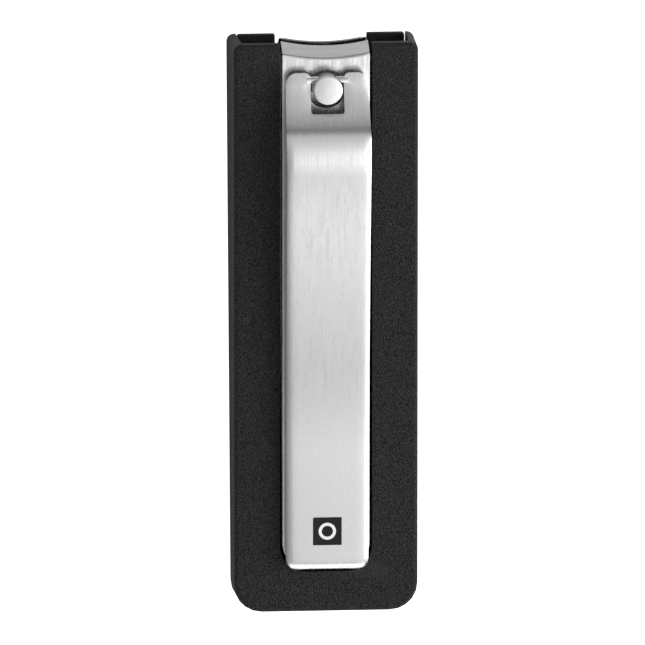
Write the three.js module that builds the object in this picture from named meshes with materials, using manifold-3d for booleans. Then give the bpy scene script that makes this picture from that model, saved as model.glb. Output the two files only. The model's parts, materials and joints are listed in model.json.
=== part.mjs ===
// A nail clipper that lives in a wedge-shaped catcher housing.
//
// Millimetres, +Z up. The housing lies on its flat back at z = 0 with its jaw end towards +Y, and
// the origin is the middle of that back. The front face slopes down towards the tail. The leaves,
// the lever and the rivets are laid out in a front frame, which is tilted with the front face: its
// z = 0 plane is the front face, and its y runs along that face from the tail to the jaws.

import * as THREE from "three";
import { mergeVertices } from "three/addons/utils/BufferGeometryUtils.js";
import Module from "manifold-3d";

const wasm = await Module();
wasm.setup();

// Housing
const HOUSING_LENGTH = 70;
const JAW_END_HEIGHT = 10;
const TAIL_END_HEIGHT = 5;
const FRONT_HALF_WIDTH = 11.12;
const SIDE_DRAFT = 0.023; // how far a side leans out for each millimetre below the front face
const SIDE_WALL = 1.1;
const FRONT_WALL = 1.5;
const BACK_WALL = 1.4;
const TAIL_CORNER_RADIUS = 3.4;
const JAW_CORNER_RADIUS = 0.9;
const FRONT_EDGE_RADIUS = 0.55;
const COVER_CLEARANCE = 0.15; // between the inset back cover and the walls round it
const SLOT_TAIL_MARGIN = 5.1; // from the tail end to the end of the slot in the front wall
const SLOT_CORNER_RADIUS = 3;
const NOTCH_LENGTH = 18; // of the open notch in the back cover, under the lower leaf
const RIB_WIDTH = 1;
const RIB_DEPTH = 3.3;
const PAD_WIDTH = 9.2;
const PAD_LENGTH = 2.2;

// Leaves
const LEAF_HALF_WIDTH = 5.26;
const LEAF_THICKNESS = 1;
const LEAF_SINK = 0.1; // of the upper leaf's face below the front face
const SIDE_CLEARANCE = 0.3; // beside each leaf, in the slots and between the ribs
const TAIL_GAP = 0.3; // between the tails of the two leaves
const TAIL_END_GAP = 0.55; // between the leaves and the end of the front slot
const TAIL_JOIN_LENGTH = 9.8; // where the leaves lie on each other, before the lower one bends away
const BLADE_HEIGHT = 3.05;
const BLADE_RUN = 0.85; // how far the blade's outer face leans out from the bend to the edge
const BLADE_SETBACK = 0.85; // of the cutting edge's middle behind the jaw end
const BLADE_BOW_RADIUS = 23.5;
const EDGE_THICKNESS = 0.1;
const BEVEL_HEIGHT = 1.5;
const BEND_RADIUS = 0.35;

// Rivets
const RIVET_RADIUS = 0.8;
const RIVET_HEAD_RADIUS = 1.4;
const RIVET_HEAD_HEIGHT = 0.4;
const RIVET_CLEARANCE = 0.25;
const RIVET_SPREAD = 2.6; // of each rivet from the middle line

// Pin
const PIN_RADIUS = 1.76;
const PIN_SETBACK = 5.14; // behind the jaw end
const PIN_HOLE_CLEARANCE = 0.6; // in the upper leaf, which tips as it is squeezed
const PIN_HOLE_SETBACK = 0.25;
const PIN_FIT_CLEARANCE = 0.35; // in the lower leaf
const NECK_RADIUS = 1.15;
const NECK_HEIGHT = 1.45;
const NECK_RISE = 1.65; // of the neck's middle above the front face
const HEAD_THICKNESS = 0.95;
const HEAD_CHAMFER = 0.16;
const FOOT_RADIUS = 3.25;
const FOOT_THICKNESS = 0.65;
const FOOT_GAP = 0.3; // under the lower leaf
const FLOOR_GAP = 0.35; // from the foot to the plane that the housing lies on

// Lever
const LEVER_THICKNESS = 1.15;
const KNEE_HALF_WIDTH = 5.1;
const NOSE_HALF_WIDTH = 4.97;
const LEVER_TAIL_HALF_WIDTH = 4.98;
const NOSE_REACH = 1.95; // of the fork's tips ahead of the pin
const KNEE_REACH = 4.4; // behind the pin
const CREST_REACH = 8.7;
const KNEE_RISE = 5.05;
const CREST_RISE = 5.35;
const LEVER_TAIL_RISE = 2.03;
const LEVER_TAIL_SETBACK = 0.65; // from the end of the front slot
const TIP_SLOPE = THREE.MathUtils.degToRad(10);
const KNEE_SLOPE = THREE.MathUtils.degToRad(42);
const FORK_CLEARANCE = 0.275;
const FORK_REACH = 2.8; // of the fork's bottom behind the pin
const FORK_CORNER_RADIUS = 0.35;
const TIP_OUTER_RADIUS = 1.3;
const TIP_INNER_RADIUS = 0.75;
const LEVER_TAIL_RADIUS = 1.2;
const LUG_RADIUS = 0.45;
const LUG_HOOK = 0.1; // how far each lug reaches in past the neck's widest place
const LUG_CLEARANCE = 0.06;

// Values that follow from the ones above
const HALF_LENGTH = HOUSING_LENGTH / 2;
const FRONT_SLOPE = Math.atan((JAW_END_HEIGHT - TAIL_END_HEIGHT) / HOUSING_LENGTH);
const MIDDLE_HEIGHT = (JAW_END_HEIGHT + TAIL_END_HEIGHT) / 2;
const FACE_HALF_LENGTH = HALF_LENGTH / Math.cos(FRONT_SLOPE);
const SLOT_HALF_WIDTH = LEAF_HALF_WIDTH + SIDE_CLEARANCE;
const SLOT_TAIL_Y = -FACE_HALF_LENGTH + SLOT_TAIL_MARGIN;
const LEAF_TAIL_Y = SLOT_TAIL_Y + TAIL_END_GAP;
const LEAF_CORNER_RADIUS = SLOT_CORNER_RADIUS - SIDE_CLEARANCE;
const LEAF_BEND_Y = LEAF_TAIL_Y + TAIL_JOIN_LENGTH;
const RIVET_Y = (LEAF_TAIL_Y + LEAF_BEND_Y) / 2;
const UPPER_UNDERSIDE = -LEAF_SINK - LEAF_THICKNESS;
const LOWER_INNER_SIDE = UPPER_UNDERSIDE - TAIL_GAP;
const LOWER_UNDERSIDE = LOWER_INNER_SIDE - LEAF_THICKNESS;
const PIN_Y = FACE_HALF_LENGTH - PIN_SETBACK;
const LUG_END = NECK_RADIUS - LUG_HOOK;
const LUG_LEAD = LUG_RADIUS + Math.sqrt((NECK_RADIUS + LUG_CLEARANCE) ** 2 - LUG_END ** 2);
const FORK_HALF_WIDTH = PIN_RADIUS + FORK_CLEARANCE;

const CURVE_STEPS = 5; // in each rounded corner
const ROUND_STEPS = 32; // in each full circle
const BLADE_STEPS = 12; // across the width of a leaf

// The front frame's point (y, z) in the part's own frame.
function rowPoint(y, z) {
  const point = new THREE.Vector2(y, z).rotateAround(new THREE.Vector2(), FRONT_SLOPE);
  return point.add(new THREE.Vector2(0, MIDDLE_HEIGHT));
}

// The lower leaf bends away at the end of the join, so that it passes just above the pin's foot.
const bendPlace = rowPoint(LEAF_BEND_Y, LOWER_UNDERSIDE);
const pinPlace = rowPoint(PIN_Y, NECK_RISE);
const leafHeightAtPin = FLOOR_GAP + FOOT_THICKNESS + FOOT_GAP;
const LOWER_SLOPE = Math.atan((bendPlace.y - leafHeightAtPin) / (pinPlace.x - bendPlace.x));
const LEAF_ANGLE = FRONT_SLOPE + LOWER_SLOPE;
const PIN_TILT = (FRONT_SLOPE - LOWER_SLOPE) / 2; // the pin stands square between the two leaves

// A closed outline through corners [x, y, radius], each rounded by its radius.
function roundedOutline(corners) {
  const shape = new THREE.Shape();
  corners.forEach(([x, y, radius], i) => {
    const [lastX, lastY] = corners.at(i - 1);
    const [nextX, nextY] = corners[(i + 1) % corners.length];
    const corner = new THREE.Vector2(x, y);
    const inward = new THREE.Vector2(x - lastX, y - lastY).normalize();
    const outward = new THREE.Vector2(nextX - x, nextY - y).normalize();
    const turn = Math.acos(THREE.MathUtils.clamp(inward.dot(outward), -1, 1));
    const reach = radius * Math.tan(turn / 2);
    const pull = radius * Math.tan(turn / 4) * (4 / 3);
    const start = corner.clone().addScaledVector(inward, -reach);
    const end = corner.clone().addScaledVector(outward, reach);
    if (i === 0) shape.moveTo(start.x, start.y);
    else shape.lineTo(start.x, start.y);
    if (radius === 0) return;
    const first = start.clone().addScaledVector(inward, pull);
    const second = end.clone().addScaledVector(outward, -pull);
    shape.bezierCurveTo(first.x, first.y, second.x, second.y, end.x, end.y);
  });
  shape.closePath();
  return shape;
}

// An outline across the part, from its tail to its jaw end, with two corner radii.
function plan(halfWidth, tailY, jawY, tailRadius, jawRadius) {
  return roundedOutline([
    [halfWidth, tailY, tailRadius],
    [halfWidth, jawY, jawRadius],
    [-halfWidth, jawY, jawRadius],
    [-halfWidth, tailY, tailRadius],
  ]);
}

// A plan outline as a prism between two heights.
function prism(shape, low, high) {
  const settings = { depth: high - low, bevelEnabled: false, curveSegments: CURVE_STEPS };
  return new THREE.ExtrudeGeometry(shape, settings).translate(0, 0, low);
}

// A side outline (y, z) as a bar across the part.
const SIDE_ON = new THREE.Matrix4().makeBasis(
  new THREE.Vector3(0, 1, 0),
  new THREE.Vector3(0, 0, 1),
  new THREE.Vector3(1, 0, 0),
);
function bar(shape, halfWidth, steps = 1) {
  const settings = { depth: 2 * halfWidth, steps, bevelEnabled: false, curveSegments: CURVE_STEPS };
  const geometry = new THREE.ExtrudeGeometry(shape, settings);
  return geometry.translate(0, 0, -halfWidth).applyMatrix4(SIDE_ON);
}

// Moves every point of a geometry by a function that changes the point in place.
function movePoints(geometry, move) {
  const places = geometry.getAttribute("position");
  const point = new THREE.Vector3();
  for (let i = 0; i < places.count; i++) {
    point.fromBufferAttribute(places, i);
    move(point);
    places.setXYZ(i, point.x, point.y, point.z);
  }
  return geometry;
}

// Lays a geometry whose z is measured from the front face onto that face, and drafts its sides.
function layUnderFront(geometry) {
  return movePoints(geometry, (point) => {
    point.x -= Math.sign(point.x) * SIDE_DRAFT * point.z;
    point.z += MIDDLE_HEIGHT + point.y * Math.tan(FRONT_SLOPE);
  });
}

// A closed geometry as a manifold solid.
function solid(geometry) {
  const bare = geometry.clone();
  bare.deleteAttribute("normal");
  bare.deleteAttribute("uv");
  const merged = mergeVertices(bare, 1e-4);
  const mesh = new wasm.Mesh({
    numProp: 3,
    vertProperties: merged.getAttribute("position").array,
    triVerts: new Uint32Array(merged.index.array),
  });
  return new wasm.Manifold(mesh);
}

// A box between two corners, as a manifold solid.
function block(low, high) {
  const size = new THREE.Vector3().subVectors(high, low);
  const middle = new THREE.Vector3().addVectors(low, high).multiplyScalar(0.5);
  const box = new THREE.BoxGeometry(size.x, size.y, size.z);
  return solid(box.translate(middle.x, middle.y, middle.z));
}

// A round cutter along z, as a manifold solid.
function roundCutter(radius, x, y, low, high) {
  const cutter = new THREE.CylinderGeometry(radius, radius, high - low, ROUND_STEPS);
  cutter.rotateX(Math.PI / 2);
  return solid(cutter.translate(x, y, (low + high) / 2));
}

// A named mesh from a manifold solid or a geometry.
function piece(name, shape, material) {
  let geometry = shape;
  if (!shape.isBufferGeometry) {
    const mesh = shape.getMesh();
    geometry = new THREE.BufferGeometry();
    geometry.setAttribute("position", new THREE.BufferAttribute(mesh.vertProperties, 3));
    geometry.setIndex(new THREE.BufferAttribute(mesh.triVerts, 1));
    geometry.computeVertexNormals();
  }
  const made = new THREE.Mesh(geometry, material);
  made.name = name;
  return made;
}

// The front shell: front wall, side walls and tail wall, with ribs beside the leaves' tails.
function catcherBody(material) {
  const outline = plan(
    FRONT_HALF_WIDTH, -HALF_LENGTH, HALF_LENGTH, TAIL_CORNER_RADIUS, JAW_CORNER_RADIUS,
  );
  const edge = FRONT_EDGE_RADIUS;
  const outside = new THREE.ExtrudeGeometry(outline, {
    depth: JAW_END_HEIGHT + BACK_WALL,
    bevelThickness: edge,
    bevelSize: edge,
    bevelOffset: -edge,
    bevelSegments: 4,
    curveSegments: CURVE_STEPS,
  });
  outside.translate(0, 0, -JAW_END_HEIGHT - BACK_WALL - edge);
  const hollow = prism(
    plan(
      FRONT_HALF_WIDTH - SIDE_WALL, -HALF_LENGTH + SIDE_WALL, 2 * HALF_LENGTH,
      TAIL_CORNER_RADIUS - SIDE_WALL, 0,
    ),
    -JAW_END_HEIGHT - 2 * BACK_WALL,
    -FRONT_WALL,
  );
  const slot = prism(
    plan(SLOT_HALF_WIDTH, SLOT_TAIL_Y, 2 * HALF_LENGTH, SLOT_CORNER_RADIUS, 0),
    -1,
    2 * JAW_END_HEIGHT,
  );
  const floor = block(
    new THREE.Vector3(-HOUSING_LENGTH, -HOUSING_LENGTH, -HOUSING_LENGTH),
    new THREE.Vector3(HOUSING_LENGTH, HOUSING_LENGTH, 0),
  );
  let shell = solid(layUnderFront(outside)).subtract(solid(layUnderFront(hollow)));
  for (const side of [-1, 1]) {
    const middle = side * (SLOT_HALF_WIDTH + RIB_WIDTH / 2);
    const length = LEAF_BEND_Y - LEAF_TAIL_Y;
    const rib = new THREE.BoxGeometry(RIB_WIDTH, length, RIB_DEPTH - FRONT_WALL / 2);
    rib.translate(middle, RIVET_Y, -(RIB_DEPTH + FRONT_WALL / 2) / 2);
    shell = shell.add(solid(layUnderFront(rib)));
  }
  return piece("catcher_body", shell.subtract(solid(slot)).subtract(floor), material);
}

// The back wall: a plate inset between the walls, with a notch at the jaws and two pads at the tail.
function backCover(material) {
  const inset = SIDE_WALL + COVER_CLEARANCE;
  const outline = plan(
    FRONT_HALF_WIDTH - inset, -HALF_LENGTH + inset, HALF_LENGTH, TAIL_CORNER_RADIUS - inset, 0.3,
  );
  const column = prism(outline, -2 * JAW_END_HEIGHT, 0);
  const slab = block(
    new THREE.Vector3(-HOUSING_LENGTH, -HOUSING_LENGTH, 0),
    new THREE.Vector3(HOUSING_LENGTH, HOUSING_LENGTH, BACK_WALL),
  );
  const notch = prism(
    plan(SLOT_HALF_WIDTH, HALF_LENGTH - NOTCH_LENGTH, 2 * HALF_LENGTH, SLOT_CORNER_RADIUS, 0),
    -1,
    2 * BACK_WALL,
  );
  let cover = solid(layUnderFront(column)).intersect(slab);
  const floor = block(
    new THREE.Vector3(-HOUSING_LENGTH, -HOUSING_LENGTH, -HOUSING_LENGTH),
    new THREE.Vector3(HOUSING_LENGTH, HOUSING_LENGTH, BACK_WALL / 2),
  );
  const padTop = LOWER_UNDERSIDE - TAIL_GAP;
  for (const middle of [LEAF_TAIL_Y + PAD_LENGTH / 2, LEAF_BEND_Y - PAD_LENGTH / 2]) {
    const pad = new THREE.BoxGeometry(PAD_WIDTH, PAD_LENGTH, JAW_END_HEIGHT);
    pad.translate(0, middle, padTop - JAW_END_HEIGHT / 2);
    cover = cover.add(solid(layUnderFront(pad)).subtract(floor));
  }
  return piece("back_cover", cover.subtract(solid(notch)), material);
}

// Bows the blade end of a leaf so that its edge is a hollow arc in plan.
function bowBlade(geometry, startY) {
  return movePoints(geometry, (point) => {
    if (point.y > startY) {
      point.y += BLADE_BOW_RADIUS - Math.sqrt(BLADE_BOW_RADIUS ** 2 - point.x ** 2);
    }
  });
}

// The blade's side outline in a frame whose z = 0 is the leaf's outer face, blade towards -z.
// It runs from the outer face, round the bend, down to the edge and up the ground bevel.
function bladeOutline(edgeY) {
  const bendY = edgeY - BLADE_RUN;
  const lean = BLADE_RUN / BLADE_HEIGHT;
  const inner = bendY - LEAF_THICKNESS;
  return [
    [bendY - BEND_RADIUS, 0],
    [bendY - BEND_RADIUS * 0.35, -BEND_RADIUS * 0.12],
    [bendY + BEND_RADIUS * lean, -BEND_RADIUS],
    [edgeY, -BLADE_HEIGHT],
    [edgeY - EDGE_THICKNESS, -BLADE_HEIGHT],
    [inner + lean * (BLADE_HEIGHT - BEVEL_HEIGHT), BEVEL_HEIGHT - BLADE_HEIGHT],
    [inner, -LEAF_THICKNESS],
  ];
}

// The upper leaf: straight along the front face, its blade bent down at the jaws.
function upperLeaf(material) {
  const edgeY = FACE_HALF_LENGTH - BLADE_SETBACK;
  const blade = bladeOutline(edgeY).map(([y, z]) => new THREE.Vector2(y, z - LEAF_SINK));
  const outline = new THREE.Shape([
    new THREE.Vector2(LEAF_TAIL_Y, -LEAF_SINK),
    ...blade,
    new THREE.Vector2(LEAF_TAIL_Y, UPPER_UNDERSIDE),
  ]);
  const leaf = bowBlade(bar(outline, LEAF_HALF_WIDTH, BLADE_STEPS), PIN_Y + PIN_RADIUS);
  const holeY = pinLineY(UPPER_UNDERSIDE) - PIN_HOLE_SETBACK;
  const shape = withLeafHoles(solid(leaf), holeY, PIN_RADIUS + PIN_HOLE_CLEARANCE, UPPER_UNDERSIDE);
  return piece("upper_leaf", shape, material);
}

// The lower leaf: its tail lies under the upper one's, then it bends away, its blade bent up.
function lowerLeaf(material) {
  const heel = new THREE.Vector2(LEAF_BEND_Y, LOWER_INNER_SIDE);
  const edgePlace = rowPoint(FACE_HALF_LENGTH - BLADE_SETBACK, -LEAF_SINK - BLADE_HEIGHT);
  const heelPlace = rowPoint(heel.x, heel.y);
  const reach = (edgePlace.x - heelPlace.x) / Math.cos(LOWER_SLOPE);
  const edgeRise = BLADE_HEIGHT - LEAF_THICKNESS;
  const edgeY = reach - edgeRise * Math.tan(LOWER_SLOPE);
  const blade = bladeOutline(edgeY).map(([along, across]) =>
    new THREE.Vector2(heel.x + along, heel.y - LEAF_THICKNESS - across).rotateAround(heel, -LEAF_ANGLE),
  );
  const outline = new THREE.Shape([
    new THREE.Vector2(LEAF_TAIL_Y, LOWER_UNDERSIDE),
    new THREE.Vector2(LEAF_BEND_Y - LEAF_THICKNESS * Math.tan(LEAF_ANGLE / 2), LOWER_UNDERSIDE),
    ...blade,
    heel,
    new THREE.Vector2(LEAF_TAIL_Y, LOWER_INNER_SIDE),
  ]);
  const leaf = bowBlade(bar(outline, LEAF_HALF_WIDTH, BLADE_STEPS), PIN_Y + PIN_RADIUS);
  const innerAtPin = heel.y - (PIN_Y - heel.x) * Math.tan(LEAF_ANGLE);
  const holeY = pinLineY(innerAtPin);
  const shape = withLeafHoles(solid(leaf), holeY, PIN_RADIUS + PIN_FIT_CLEARANCE, LOWER_UNDERSIDE);
  return piece("lower_leaf", shape, material);
}

// Where the pin's middle line stands in the front frame at a height there.
function pinLineY(height) {
  return PIN_Y - (NECK_RISE - height) * Math.tan(FRONT_SLOPE - PIN_TILT);
}

// A leaf with its pin hole, its rivet holes and rounded tail corners.
function withLeafHoles(leaf, holeY, holeRadius, tailUnderside) {
  const low = tailUnderside - 2 * JAW_END_HEIGHT;
  const footprint = plan(LEAF_HALF_WIDTH, LEAF_TAIL_Y, HOUSING_LENGTH, LEAF_CORNER_RADIUS, 0);
  let shape = leaf.intersect(solid(prism(footprint, low, JAW_END_HEIGHT)));
  shape = shape.subtract(roundCutter(holeRadius, 0, holeY, low, JAW_END_HEIGHT));
  for (const side of [-1, 1]) {
    const radius = RIVET_RADIUS + RIVET_CLEARANCE;
    shape = shape.subtract(roundCutter(radius, side * RIVET_SPREAD, RIVET_Y, low, JAW_END_HEIGHT));
  }
  return shape;
}

// A rivet through both tails, with a head over the upper leaf and one under the lower leaf.
function rivet(name, material) {
  const topHead = -LEAF_SINK + RIVET_CLEARANCE;
  const lowHead = LOWER_UNDERSIDE - RIVET_CLEARANCE;
  const crown = RIVET_HEAD_HEIGHT / 2;
  const profile = [
    [0, lowHead - RIVET_HEAD_HEIGHT],
    [RIVET_HEAD_RADIUS - crown, lowHead - RIVET_HEAD_HEIGHT],
    [RIVET_HEAD_RADIUS, lowHead - crown],
    [RIVET_HEAD_RADIUS, lowHead],
    [RIVET_RADIUS, lowHead],
    [RIVET_RADIUS, topHead],
    [RIVET_HEAD_RADIUS, topHead],
    [RIVET_HEAD_RADIUS, topHead + crown],
    [RIVET_HEAD_RADIUS - crown, topHead + RIVET_HEAD_HEIGHT],
    [0, topHead + RIVET_HEAD_HEIGHT],
  ];
  return turned(name, profile, material);
}

// A turned piece, from its (radius, height) outline.
function turned(name, profile, material) {
  const points = profile.map(([radius, height]) => new THREE.Vector2(radius, height));
  const geometry = new THREE.LatheGeometry(points, ROUND_STEPS).rotateX(Math.PI / 2);
  return piece(name, solid(geometry), material);
}

// The pin, its frame's origin in the middle of its neck.
function pivotPin(material) {
  const drop = pinPlace.y - bendPlace.y + (pinPlace.x - bendPlace.x) * Math.tan(LOWER_SLOPE);
  const leafDepth = drop / (Math.cos(PIN_TILT) - Math.sin(PIN_TILT) * Math.tan(LOWER_SLOPE));
  const footTop = -leafDepth - FOOT_GAP;
  const neck = NECK_HEIGHT / 2;
  const headTop = neck + HEAD_THICKNESS;
  const profile = [
    [0, footTop - FOOT_THICKNESS],
    [FOOT_RADIUS - HEAD_CHAMFER, footTop - FOOT_THICKNESS],
    [FOOT_RADIUS, footTop - FOOT_THICKNESS + HEAD_CHAMFER],
    [FOOT_RADIUS, footTop],
    [PIN_RADIUS, footTop],
    [PIN_RADIUS, -neck],
    [NECK_RADIUS, -neck],
    [NECK_RADIUS, neck],
    [PIN_RADIUS, neck],
    [PIN_RADIUS, headTop - HEAD_CHAMFER],
    [PIN_RADIUS - HEAD_CHAMFER, headTop],
    [0, headTop],
  ];
  return turned("pivot_pin", profile, material);
}

// The lever's upper face from the fork's tips to the tail: hollow nose, knee, crest, long back.
function leverFace() {
  const tipY = PIN_Y + NOSE_REACH;
  const noseRun = NOSE_REACH + KNEE_REACH;
  const radius = noseRun / (Math.sin(KNEE_SLOPE) - Math.sin(TIP_SLOPE));
  const tipRise = KNEE_RISE - radius * (Math.cos(TIP_SLOPE) - Math.cos(KNEE_SLOPE));
  const noseSteps = 8;
  const points = [];
  for (let i = 0; i < noseSteps; i++) {
    const slope = THREE.MathUtils.lerp(TIP_SLOPE, KNEE_SLOPE, i / noseSteps);
    const run = radius * (Math.sin(slope) - Math.sin(TIP_SLOPE));
    const rise = radius * (Math.cos(TIP_SLOPE) - Math.cos(slope));
    points.push(new THREE.Vector2(tipY - run, tipRise + rise));
  }
  const knee = new THREE.Vector2(PIN_Y - KNEE_REACH, KNEE_RISE);
  const crest = new THREE.Vector2(PIN_Y - CREST_REACH, CREST_RISE);
  const tail = new THREE.Vector2(SLOT_TAIL_Y + LEVER_TAIL_SETBACK, LEVER_TAIL_RISE);
  const kneePull = new THREE.Vector2((knee.x + crest.x) / 2, CREST_RISE);
  const length = crest.x - tail.x;
  const rise = CREST_RISE - LEVER_TAIL_RISE;
  const crestPull = new THREE.Vector2(crest.x - 0.085 * length, CREST_RISE - 0.045 * rise);
  const tailPull = new THREE.Vector2(crest.x - 0.383 * length, LEVER_TAIL_RISE + 0.096 * rise);
  const shoulder = new THREE.QuadraticBezierCurve(knee, kneePull, crest).getPoints(4);
  const back = new THREE.CubicBezierCurve(crest, crestPull, tailPull, tail).getPoints(22);
  return [...points, ...shoulder, ...back.slice(1)];
}

// The same line moved square to itself by a distance, towards the leaves.
function movedUnder(points, distance) {
  return points.map((point, i) => {
    const before = points[Math.max(i - 1, 0)];
    const after = points[Math.min(i + 1, points.length - 1)];
    const first = new THREE.Vector2().subVectors(i > 0 ? point : after, before).normalize();
    const second = new THREE.Vector2()
      .subVectors(i < points.length - 1 ? after : point, i < points.length - 1 ? point : before)
      .normalize();
    const along = first.clone().add(second).normalize();
    const square = new THREE.Vector2(-along.y, along.x);
    return point.clone().addScaledVector(square, distance / along.dot(first));
  });
}

// The lever: a bent strip with a fork at the nose, and a lug inside each prong.
function lever(material) {
  const face = leverFace();
  const side = new THREE.Shape([...face, ...movedUnder(face, LEVER_THICKNESS).reverse()]);
  const strip = solid(bar(side, 2 * KNEE_HALF_WIDTH));
  const tailY = face.at(-1).x;
  const kneeY = PIN_Y - KNEE_REACH;
  const tipY = PIN_Y + NOSE_REACH;
  const forkY = PIN_Y - FORK_REACH;
  const right = [
    [LEVER_TAIL_HALF_WIDTH, tailY, LEVER_TAIL_RADIUS],
    [KNEE_HALF_WIDTH, kneeY, 0],
    [NOSE_HALF_WIDTH, tipY, TIP_OUTER_RADIUS],
    [FORK_HALF_WIDTH, tipY, TIP_INNER_RADIUS],
    [FORK_HALF_WIDTH, forkY, FORK_CORNER_RADIUS],
  ];
  const left = right.map(([x, y, radius]) => [-x, y, radius]).reverse();
  const footprint = roundedOutline([...right, ...left]);
  let shape = strip.intersect(solid(prism(footprint, -JAW_END_HEIGHT, JAW_END_HEIGHT)));
  for (const hand of [-1, 1]) {
    const length = FORK_HALF_WIDTH + LUG_RADIUS - LUG_END;
    const lug = new THREE.CylinderGeometry(LUG_RADIUS, LUG_RADIUS, length, ROUND_STEPS / 2);
    lug.rotateZ(Math.PI / 2).translate(hand * (LUG_END + length / 2), PIN_Y + LUG_LEAD, NECK_RISE);
    shape = shape.add(solid(lug));
  }
  return piece("lever", shape, material);
}

const plastic = { metalness: 0, roughness: 0.62 };
const steel = { metalness: 1 };
const housingPlastic = new THREE.MeshStandardMaterial({ color: 0x1c1c1e, ...plastic });
const coverPlastic = new THREE.MeshStandardMaterial({ color: 0x1a1a1c, ...plastic });
const leafSteel = new THREE.MeshStandardMaterial({ color: 0xc9c9c6, roughness: 0.3, ...steel });
const pinSteel = new THREE.MeshStandardMaterial({ color: 0xd2d2d0, roughness: 0.22, ...steel });
const leverSteel = new THREE.MeshStandardMaterial({ color: 0xbfbfbc, roughness: 0.38, ...steel });

const frontFrame = new THREE.Group();
frontFrame.name = "front_frame";
frontFrame.position.set(0, 0, MIDDLE_HEIGHT);
frontFrame.rotation.x = FRONT_SLOPE;
frontFrame.add(upperLeaf(leafSteel), lowerLeaf(leafSteel), lever(leverSteel));
for (const [side, name] of [[-1, "leaf_rivet_left"], [1, "leaf_rivet_right"]]) {
  const joined = rivet(name, pinSteel);
  joined.position.set(side * RIVET_SPREAD, RIVET_Y, 0);
  frontFrame.add(joined);
}

const pinFrame = new THREE.Group();
pinFrame.name = "pin_frame";
pinFrame.position.set(0, pinPlace.x, pinPlace.y);
pinFrame.rotation.x = PIN_TILT;
pinFrame.add(pivotPin(pinSteel));

const clipper = new THREE.Group();
clipper.add(catcherBody(housingPlastic), backCover(coverPlastic), frontFrame, pinFrame);
export default clipper;
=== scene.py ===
"""A nail clipper in a wedge-shaped catcher housing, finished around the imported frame.

Lengths are metres. The housing lies on its back at z = 0, its jaw end towards +Y.
"""

import json
import logging
import math
from collections.abc import Callable, Iterable
from dataclasses import dataclass, field
from enum import Enum

import bmesh
import bpy
from bpy.types import Node, NodeOutputs, NodeSocket, NodeTree, Object
from mathutils import Matrix, Vector


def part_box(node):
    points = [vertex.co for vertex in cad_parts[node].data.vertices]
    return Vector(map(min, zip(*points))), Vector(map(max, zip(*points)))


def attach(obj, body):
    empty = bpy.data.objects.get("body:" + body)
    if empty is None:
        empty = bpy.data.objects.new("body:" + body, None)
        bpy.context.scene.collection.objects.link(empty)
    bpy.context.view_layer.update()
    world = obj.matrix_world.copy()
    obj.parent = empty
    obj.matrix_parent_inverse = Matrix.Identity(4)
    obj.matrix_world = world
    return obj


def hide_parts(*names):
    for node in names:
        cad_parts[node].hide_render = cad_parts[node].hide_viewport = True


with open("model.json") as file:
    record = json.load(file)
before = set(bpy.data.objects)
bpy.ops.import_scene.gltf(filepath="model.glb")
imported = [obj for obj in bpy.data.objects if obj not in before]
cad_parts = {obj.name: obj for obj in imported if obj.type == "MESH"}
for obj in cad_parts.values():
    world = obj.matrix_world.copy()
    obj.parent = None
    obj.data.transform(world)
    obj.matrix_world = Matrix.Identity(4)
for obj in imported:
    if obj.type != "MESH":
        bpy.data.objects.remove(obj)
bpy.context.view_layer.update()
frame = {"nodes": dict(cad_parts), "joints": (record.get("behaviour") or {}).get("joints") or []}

LOG = logging.getLogger("nail_clipper")
MM = 0.001
WELD = 1e-7  # places closer than this are one place
NEAR = 0.02 * MM  # how close an element must lie to the line it is picked by
EDGE_POINTINESS = 0.52  # a flat face has a pointiness of 0.5
SEARCH_STEPS = 40
X_AXIS = Vector((1, 0, 0))
Y_AXIS = Vector((0, 1, 0))
Z_AXIS = Vector((0, 0, 1))


# Modelling by hand: selecting and shaping the active object in edit mode


def deselect_all() -> None:
    """Leave edit mode and deselect every object."""
    if bpy.context.object is not None and bpy.context.object.mode != "OBJECT":
        bpy.ops.object.mode_set(mode="OBJECT")
    bpy.ops.object.select_all(action="DESELECT")


def activate(piece: Object) -> Object:
    """Make one object the only selected and the active one.

    Args:
        piece: The object to work on.

    Returns:
        The same object.
    """
    deselect_all()
    piece.select_set(True)
    bpy.context.view_layer.objects.active = piece
    return piece


def pick(piece: Object, mode: str, test: Callable[..., bool]) -> int:
    """Select the elements of the object in edit mode that pass a test, and no others.

    Args:
        piece: The object in edit mode.
        mode: VERT, EDGE or FACE.
        test: Takes a bmesh element of that kind and says whether it is wanted.

    Returns:
        How many elements are selected.
    """
    bpy.ops.mesh.select_mode(type=mode)
    bpy.ops.mesh.select_all(action="DESELECT")
    shape = bmesh.from_edit_mesh(piece.data)
    shape.normal_update()
    elements = {"VERT": shape.verts, "EDGE": shape.edges, "FACE": shape.faces}[mode]
    count = 0
    for element in elements:
        if test(element):
            element.select_set(True)
            count += 1
    shape.select_flush_mode()
    bmesh.update_edit_mesh(piece.data)
    return count


def middle(edge: bmesh.types.BMEdge) -> Vector:
    """The middle point of an edge."""
    return (edge.verts[0].co + edge.verts[1].co) / 2


def along(edge: bmesh.types.BMEdge, axis: Vector) -> bool:
    """Whether an edge runs along an axis."""
    run = edge.verts[1].co - edge.verts[0].co
    return run.length > 0 and abs(run.normalized().dot(axis)) > 0.999


def bisect(point: Vector, normal: Vector) -> None:
    """Cut a line into the whole of the mesh in edit mode where a plane crosses it.

    Args:
        point: A point of the plane.
        normal: The plane's normal.
    """
    bpy.ops.mesh.select_mode(type="FACE")
    bpy.ops.mesh.select_all(action="SELECT")
    bpy.ops.mesh.bisect(plane_co=point, plane_no=normal)


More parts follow.
